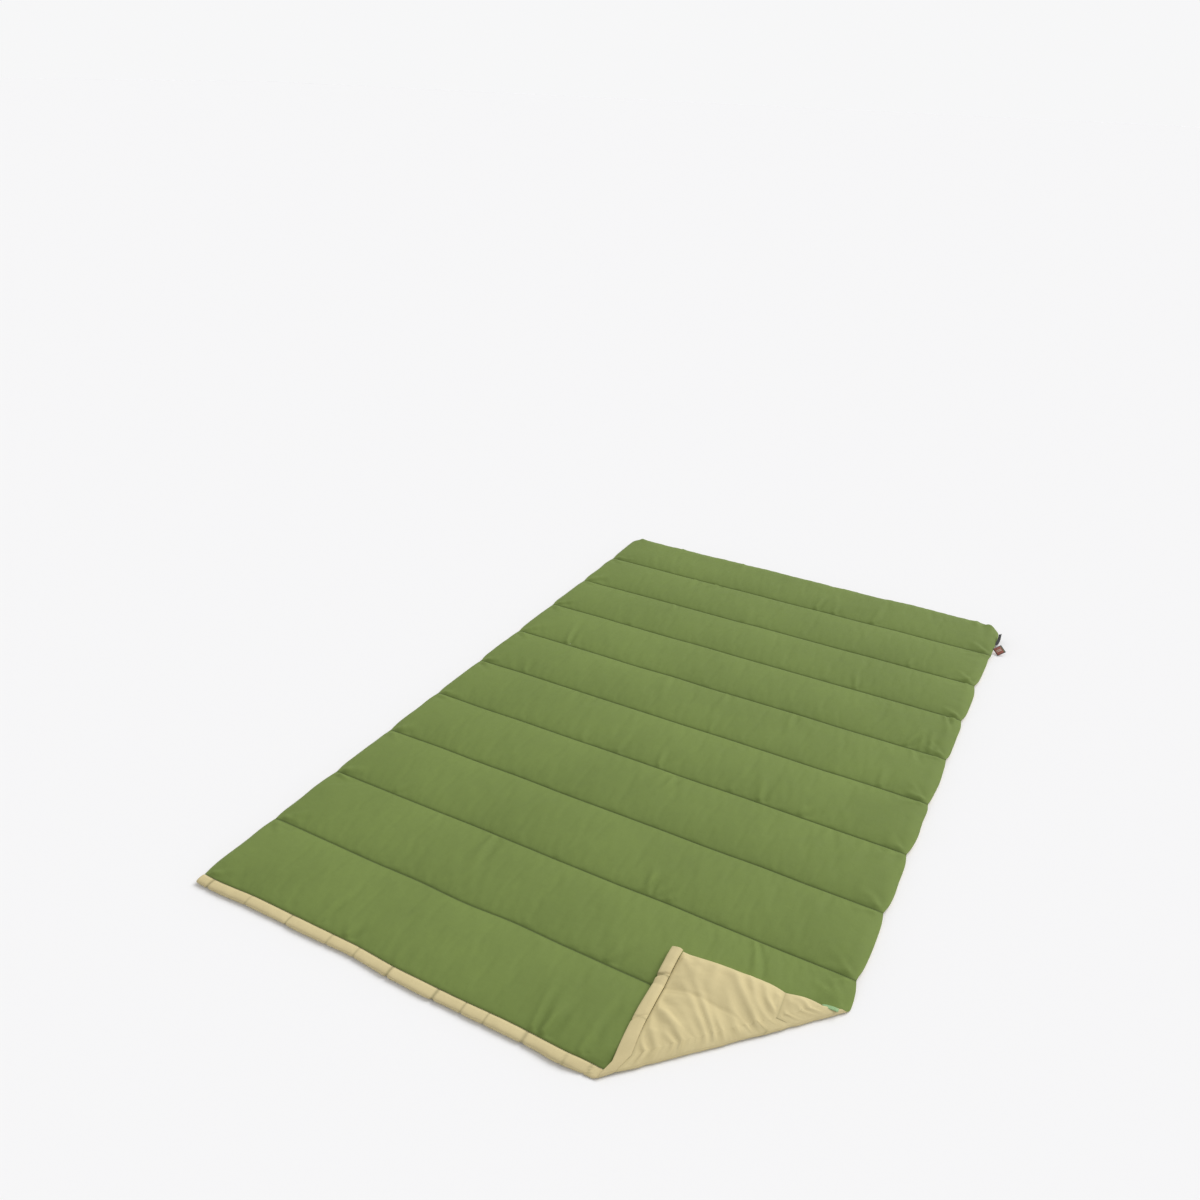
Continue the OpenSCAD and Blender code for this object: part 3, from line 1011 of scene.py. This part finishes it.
def side_label():
    """Folded woven label, sewn in by its corner: the far corners are one up, one down."""
    root = JOINTS["label_flop"]["pos_m"]
    low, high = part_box("side_label")
    size = (high.x - low.x) / math.sqrt(2)
    tip = math.asin(min(1.0, (high.z - low.z - 0.9 * MM) / (size * math.sqrt(2))))
    count = 25
    a, b = np.meshgrid(np.linspace(0, 1, count), np.linspace(0, 1, count), indexing="ij")
    curl = 1.6 * MM * np.sin(a * 3.0) * np.sin(b * 3.0)
    points, flat = [], []
    for side in (1, -1):
        ease = (1 - np.abs(2 * a - 1) ** 10) * (1 - np.abs(2 * b - 1) ** 10)
        lift = curl + side * (0.15 * MM + 0.45 * MM * ease)
        outward = size * (a + b) / math.sqrt(2)
        ahead = size * (b - a) / math.sqrt(2)
        x = root[0] - 3 * MM + outward
        y = root[1] + ahead * math.cos(tip) - lift * math.sin(tip)
        z = root[2] + ahead * math.sin(tip) + lift * math.cos(tip)
        points += list(np.stack([x, y, z], axis=2).reshape(-1, 3))
        flat += list(np.stack([a, b, a * 0 + side], axis=2).reshape(-1, 3))
    faces = grid_faces(count, count)
    total = count * count
    upper = [tuple(reversed(face)) for face in faces]
    lower = [tuple(i + total for i in face) for face in faces]
    rim = list(range(count)) + [count * (i + 1) - 1 for i in range(1, count)]
    rim += [total - 1 - i for i in range(1, count)]
    rim += [count * (count - 1 - i) for i in range(1, count - 1)]
    sides = [(a0, b0, b0 + total, a0 + total) for a0, b0 in zip(rim, rim[1:] + rim[:1])]
    piece = add_mesh("side_label_woven", points, upper + lower + sides, flat)
    bm = bmesh.new()
    bm.from_mesh(piece.data)
    bmesh.ops.recalc_face_normals(bm, faces=bm.faces[:])
    bm.to_mesh(piece.data)
    bm.free()
    return piece


def side_tab():
    """Short folded ribbon sewn into the turned edge."""
    u_root = HALF_WIDTH - 1 * MM
    v = FOLD_END_Y - TAB_FROM_FOLD
    path, widths = [], []
    for share in np.linspace(0, 1, 12):
        u = u_root + TAB_REACH * share
        x, y = mirror(u, v)
        drop = 3.5 * MM * share**1.5
        floor = float(flap_floor(np.array([u_root]), np.array([v]))[0])
        path.append((x, y, floor + 1.0 * MM - drop))
        tip = mirror(u, v + MM)
        widths.append((tip[0] - x, tip[1] - y, 0.0))
    return ribbon("side_tab_ribbon", path, np.array(widths), TAB_WIDTH, 1.4 * MM, 14)


# -------- materials
def node_material(name):
    material = bpy.data.materials.new(name)
    material.use_nodes = True
    return material, material.node_tree, material.node_tree.nodes["Principled BSDF"]


def add_node(tree, kind, **settings):
    node = tree.nodes.new(kind)
    for key, value in settings.items():
        setattr(node, key, value)
    return node


def math_node(tree, operation, first, second=None, third=None):
    node = add_node(tree, "ShaderNodeMath", operation=operation)
    for socket, value in zip(node.inputs, (first, second, third)):
        if value is None:
            continue
        if isinstance(value, (int, float)):
            socket.default_value = value
        else:
            tree.links.new(value, socket)
    return node.outputs[0]


def cloth_coordinates(tree):
    """The flat cloth's place as a vector, its two distances in metres, and the third value kept there."""
    source = add_node(tree, "ShaderNodeAttribute", attribute_name="flat")
    parts = add_node(tree, "ShaderNodeSeparateXYZ")
    tree.links.new(source.outputs["Vector"], parts.inputs[0])
    level = add_node(tree, "ShaderNodeCombineXYZ")
    tree.links.new(parts.outputs[0], level.inputs[0])
    tree.links.new(parts.outputs[1], level.inputs[1])
    return level.outputs[0], parts.outputs[0], parts.outputs[1], parts.outputs[2]


def noise_node(tree, vector, scale, detail=3.0, roughness=0.55, distortion=0.0):
    node = add_node(tree, "ShaderNodeTexNoise")
    node.inputs["Scale"].default_value = scale
    node.inputs["Detail"].default_value = detail
    node.inputs["Roughness"].default_value = roughness
    node.inputs["Distortion"].default_value = distortion
    tree.links.new(vector, node.inputs["Vector"])
    return node.outputs["Fac"]


def stretched(tree, vector, scale):
    node = add_node(tree, "ShaderNodeMapping")
    node.inputs["Scale"].default_value = scale
    tree.links.new(vector, node.inputs["Vector"])
    return node.outputs[0]


def wave(tree, place, rate):
    return math_node(tree, "SINE", math_node(tree, "MULTIPLY", place, rate))


def plain_weave(tree, along, across, pitch):
    """Height of a plain weave with threads one pitch apart: over and under in turn."""
    rate = math.pi / pitch
    return math_node(tree, "MULTIPLY", wave(tree, along, rate), wave(tree, across, rate))


def colour_ramp(tree, factor, low, high, low_at=0.0, high_at=1.0):
    """Colour that goes from low to high as factor goes from low_at to high_at."""
    ramp = add_node(tree, "ShaderNodeValToRGB")
    for element, place, colour in zip(ramp.color_ramp.elements, (low_at, high_at), (low, high)):
        element.position = place
        element.color = (*colour, 1)
    tree.links.new(factor, ramp.inputs[0])
    return ramp.outputs[0]


def surface(tree, shader, colour, roughness, sheen):
    tree.links.new(colour, shader.inputs["Base Color"])
    shader.inputs["Roughness"].default_value = roughness
    shader.inputs["Sheen Weight"].default_value = sheen


def bump(tree, shader, height, strength, distance):
    node = add_node(tree, "ShaderNodeBump")
    node.inputs["Strength"].default_value = strength
    node.inputs["Distance"].default_value = distance
    tree.links.new(height, node.inputs["Height"])
    tree.links.new(node.outputs[0], shader.inputs["Normal"])


def fabric(name, dark, light, weave_pitch, roughness, sheen, weave_depth, slub_depth):
    """Woven fabric: threads, slubs, soft mottling, paler convex places as on worn cloth with painted
    shade in the hollows, and painted shade in the stitched grooves.
    """
    material, tree, shader = node_material(name)
    vector, along, across, painted_groove_shade = cloth_coordinates(tree)
    broad = noise_node(tree, vector, 3.2, 4.0)
    mottle = noise_node(tree, vector, 28.0, 4.0, 0.6)
    threads_along = noise_node(tree, stretched(tree, vector, (40, 1400, 1)), 1.0, 2.0)
    threads_across = noise_node(tree, stretched(tree, vector, (1400, 40, 1)), 1.0, 2.0)
    threads = math_node(tree, "ADD", threads_along, threads_across)
    blend = math_node(tree, "MULTIPLY_ADD", broad, 0.55, math_node(tree, "MULTIPLY", mottle, 0.16))
    blend = math_node(tree, "MULTIPLY_ADD", threads, 0.18, blend)
    # By curvature: paler on convex places, as worn cloth is, and darker in hollows as painted shade
    convexity = add_node(tree, "ShaderNodeNewGeometry").outputs["Pointiness"]
    wear_and_shade = math_node(tree, "MULTIPLY", math_node(tree, "SUBTRACT", convexity, 0.5), 1.6)
    blend = math_node(tree, "ADD", blend, wear_and_shade)
    # Painted shade: in the seam grooves and the binding's nicks the colour is multiplied towards this
    # grey
    shaded = add_node(tree, "ShaderNodeMix", data_type="RGBA", blend_type="MULTIPLY")
    tree.links.new(painted_groove_shade, shaded.inputs["Factor"])
    tree.links.new(colour_ramp(tree, blend, dark, light, 0.34, 0.74), shaded.inputs[6])
    shaded.inputs[7].default_value = (0.42, 0.44, 0.40, 1)
    surface(tree, shader, shaded.outputs[2], roughness, sheen)
    rough = math_node(tree, "MULTIPLY_ADD", mottle, 0.16, roughness - 0.08)
    tree.links.new(rough, shader.inputs["Roughness"])
    shader.inputs["Sheen Roughness"].default_value = 0.45
    shader.inputs["Sheen Tint"].default_value = (*light, 1)
    shader.inputs["Specular IOR Level"].default_value = 0.28
    weave = plain_weave(tree, along, across, weave_pitch)
    crinkle = noise_node(tree, vector, 75.0, 5.0, 0.62, 0.4)
    slubs = math_node(tree, "MULTIPLY", threads, slub_depth)
    height = math_node(tree, "MULTIPLY_ADD", weave, weave_depth, slubs)
    height = math_node(tree, "MULTIPLY_ADD", crinkle, 1.1 * MM, height)
    bump(tree, shader, height, 0.55, 1.0)
    return material


def thread_material(name, colour):
    """Twisted sewing thread."""
    material, tree, shader = node_material(name)
    _, along, across, _ = cloth_coordinates(tree)
    twist_along = math_node(tree, "MULTIPLY", along, 9000.0)
    twist_across = math_node(tree, "MULTIPLY", across, 7000.0)
    ply = math_node(tree, "SINE", math_node(tree, "ADD", twist_along, twist_across))
    share = math_node(tree, "MULTIPLY_ADD", ply, 0.5, 0.5)
    surface(tree, shader, colour_ramp(tree, share, [c * 0.6 for c in colour], colour), 0.55, 0.2)
    bump(tree, shader, ply, 0.5, 0.1 * MM)
    return material


def wadding_material():
    """Loose white polyester fibre."""
    material, tree, shader = node_material("wadding fibre")
    vector = cloth_coordinates(tree)[0]
    fibres = noise_node(tree, stretched(tree, vector, (60, 400, 60)), 1.0, 6.0, 0.7, 1.5)
    surface(tree, shader, colour_ramp(tree, fibres, (0.62, 0.61, 0.58), (0.88, 0.88, 0.86)), 0.95, 0.0)
    bump(tree, shader, fibres, 1.0, 1.5 * MM)
    return material


def tape_material(name, colour, rib_pitch):
    """Grosgrain tape with ribs across it."""
    material, tree, shader = node_material(name)
    vector, _, along, _ = cloth_coordinates(tree)
    rib = wave(tree, along, 2 * math.pi / rib_pitch)
    grain = noise_node(tree, stretched(tree, vector, (900, 300, 1)), 1.0, 3.0)
    blend = math_node(tree, "MULTIPLY_ADD", rib, 0.2, math_node(tree, "MULTIPLY", grain, 0.8))
    dark, light = [c * 0.55 for c in colour], [min(1, c * 1.25) for c in colour]
    surface(tree, shader, colour_ramp(tree, blend, dark, light), 0.6, 0.15)
    bump(tree, shader, rib, 0.7, 0.25 * MM)
    return material


def label_material():
    """Woven label: red-brown ground, two pale stripes and a dark border."""
    material, tree, shader = node_material("woven label")
    _, a, b, _ = cloth_coordinates(tree)

    def inside(value, low, high):
        above = math_node(tree, "GREATER_THAN", value, low)
        below = math_node(tree, "LESS_THAN", value, high)
        return math_node(tree, "MULTIPLY", above, below)

    def mixed(factor, first, second):
        node = add_node(tree, "ShaderNodeMix", data_type="RGBA")
        tree.links.new(factor, node.inputs["Factor"])
        for socket, value in zip((node.inputs[6], node.inputs[7]), (first, second)):
            if isinstance(value, tuple):
                socket.default_value = (*value, 1)
            else:
                tree.links.new(value, socket)
        return node.outputs[2]

    threads, weft = wave(tree, b, 260.0), wave(tree, a, 200.0)
    grain = math_node(tree, "MULTIPLY_ADD", math_node(tree, "MULTIPLY", threads, weft), 0.35, 0.55)
    ground = mixed(grain, (0.22, 0.055, 0.035), (0.42, 0.12, 0.075))
    stripe = math_node(tree, "ADD", inside(a, 0.40, 0.47), inside(a, 0.56, 0.63))
    stripe = math_node(tree, "MULTIPLY", stripe, inside(b, 0.16, 0.74))
    pattern = mixed(stripe, ground, (0.62, 0.52, 0.40))
    middle = math_node(tree, "MULTIPLY", inside(a, 0.07, 0.93), inside(b, 0.07, 0.82))
    thin = math_node(tree, "MULTIPLY", inside(b, 0.86, 0.90), inside(a, 0.07, 0.93))
    border = mixed(thin, (0.02, 0.022, 0.018), (0.30, 0.32, 0.10))
    surface(tree, shader, mixed(middle, border, pattern), 0.62, 0.2)
    bump(tree, shader, math_node(tree, "ADD", threads, weft), 0.6, 0.2 * MM)
    return material


def make_materials():
    return {
        "shell_green": fabric("green shell", (0.138, 0.190, 0.046), (0.180, 0.245, 0.060),
                              0.9 * MM, 0.80, 0.16, 0.05 * MM, 0.05 * MM),
        "lining_tan": fabric("tan lining", (0.56, 0.470, 0.245), (0.66, 0.565, 0.310),
                             0.9 * MM, 0.78, 0.12, 0.05 * MM, 0.05 * MM),
        "binding_tan": fabric("tan binding", (0.56, 0.470, 0.250), (0.66, 0.565, 0.315),
                              0.9 * MM, 0.76, 0.14, 0.05 * MM, 0.06 * MM),
        "wadding_white": wadding_material(),
        "thread_green": thread_material("green thread", (0.10, 0.15, 0.04)),
        "thread_tan": thread_material("tan thread", (0.50, 0.42, 0.26)),
        "tape_black": tape_material("black tape", (0.022, 0.022, 0.024), 1.4 * MM),
        "label_woven": label_material(),
        "tab_pale_green": tape_material("pale green ribbon", (0.33, 0.56, 0.25), 1.2 * MM),
    }


# -------- camera, light and floor
CAMERA_PLACE = (0.8117, -2.1551, 1.5027)
CAMERA_ANGLES = (27.4, 27.39, 2.1)
CAMERA_LENS = 30.65
FLOOR_GAP = 0.3 * MM
FLOOR_SIZE = 120.0


def add_camera():
    """Stands off the right foot corner, looking towards the head and left."""
    azimuth, elevation, roll = (math.radians(angle) for angle in CAMERA_ANGLES)
    look = Vector((-math.sin(azimuth) * math.cos(elevation),
                   math.cos(azimuth) * math.cos(elevation), -math.sin(elevation)))
    camera = bpy.data.objects.new("camera", bpy.data.cameras.new("camera"))
    camera.data.lens = CAMERA_LENS
    camera.data.sensor_width = 36
    camera.data.clip_end = 500
    turn = look.to_track_quat("-Z", "Y").to_matrix() @ Matrix.Rotation(roll, 3, "Z")
    camera.matrix_world = Matrix.Translation(CAMERA_PLACE) @ turn.to_4x4()
    bpy.context.scene.collection.objects.link(camera)
    bpy.context.scene.camera = camera


def add_floor():
    """The floor lies a hair below the cloth, so that the two never share a surface."""
    reach = FLOOR_SIZE / 2
    corners = [(-reach, -reach), (reach, -reach), (reach, reach), (-reach, reach)]
    floor = add_mesh("floor", [(x, y, -FLOOR_GAP) for x, y in corners], [(0, 1, 2, 3)])
    material, _, shader = node_material("pale floor")
    shader.inputs["Base Color"].default_value = (0.87, 0.87, 0.875, 1)
    shader.inputs["Roughness"].default_value = 1.0
    shader.inputs["Specular IOR Level"].default_value = 0.0
    floor.data.materials.append(material)


def add_light():
    """A pale room, greyer overhead, and one very soft sun from the head end."""
    world = bpy.data.worlds.new("studio")
    bpy.context.scene.world = world
    world.use_nodes = True
    tree = world.node_tree
    background = tree.nodes["Background"]
    direction = add_node(tree, "ShaderNodeTexCoord").outputs["Generated"]
    parts = add_node(tree, "ShaderNodeSeparateXYZ")
    tree.links.new(direction, parts.inputs[0])
    pale, grey = (0.93, 0.93, 0.935), (0.56, 0.56, 0.57)
    sky = colour_ramp(tree, parts.outputs[2], pale, grey, 0.10, 0.35)
    tree.links.new(sky, background.inputs["Color"])
    sun = bpy.data.objects.new("key", bpy.data.lights.new("key", "SUN"))
    sun.data.energy = 2.2
    sun.data.angle = math.radians(38)
    sun.data.color = (1.0, 0.995, 0.98)
    towards = Vector((-0.40, -0.78, -0.85))
    sun.rotation_euler = towards.to_track_quat("-Z", "Y").to_euler()
    bpy.context.scene.collection.objects.link(sun)


# -------- the quilt
CLOTHS = ((True, "shell_green", "shell"), (False, "lining_tan", "lining"))


def dress(piece, finish):
    """Gives the piece the material of that name."""
    piece.data.materials.append(materials[finish])


def install(piece, body, node, finish):
    """The piece rides on its body, in place of the CAD node."""
    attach(piece, body)
    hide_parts(node)
    dress(piece, finish)


def install_folded(pieces, part, finish):
    """The quilt part rides on the foot panel and the turned part on the corner flap; the crease keeps its
    place, with its transform baked in.
    """
    quilt, crease, turned = pieces
    install(quilt, "foot_panel", f"foot_{part}", finish)
    install(turned, "corner_flap", f"corner_{part}", finish)
    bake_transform(crease)
    dress(crease, finish)


def build_foot():
    flat_points, flat_faces = foot_cloth_flat()
    flat_u, flat_v = flat_points[:, 0], flat_points[:, 1]
    for is_shell, finish, part in CLOTHS:
        pieces = foot_cloth(flat_u, flat_v, flat_faces, is_shell)
        install_folded(pieces, part, finish)
    binding = foot_binding()
    install_folded(binding, "binding", "binding_tan")
    flat_parts, turned_parts = foot_waddings()
    cores = binding_cores()
    for part in flat_parts + [cores[0]]:
        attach(part, "foot_panel")
    for part in turned_parts + [cores[1]]:
        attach(part, "corner_flap")
    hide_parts("foot_wadding")
    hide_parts("corner_wadding")
    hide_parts("foot_binding_wadding")
    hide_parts("corner_binding_wadding")
    for part in flat_parts + turned_parts + cores:
        dress(part, "wadding_white")
    rows = (
        ("stitching_1", 1, "seam_thread", "thread_green"),
        ("binding_stitching", 0, "binding_thread", "thread_tan"),
    )
    for name, seam, node, finish in rows:
        quilt_row = stitch_row(name, seam, end=FOLD_CREASE)
        install(quilt_row, "foot_panel", "foot_" + node, finish)
        turned_row = stitch_row(name + "_turned", seam, start=FOLD_FLAP)
        install(turned_row, "corner_flap", "corner_" + node, finish)


def build_channels():
    for k in range(FOOT_CHANNELS, CHANNELS):
        number = k + 1
        body = f"channel_{number}"
        for is_shell, finish, part in CLOTHS:
            piece = channel_cloth(k, is_shell)
            install(piece, body, f"{part}_{number}", finish)
        layer = channel_wadding(k)
        install(layer, body, f"wadding_{number}", "wadding_white")
        install(stitch_row(f"stitching_{k}", k), body, f"seam_thread_{k}", "thread_green")


def build_trim():
    install(hanging_loop(), "loop_tape", "hang_loop", "tape_black")
    install(side_label(), "label_flap", "side_label", "label_woven")
    install(side_tab(), "corner_flap", "side_tab", "tab_pale_green")


bpy.context.scene.view_settings.view_transform = "Standard"
add_camera()
simulate_wrinkles()
materials = make_materials()
build_foot()
build_channels()
build_trim()
add_floor()
add_light()
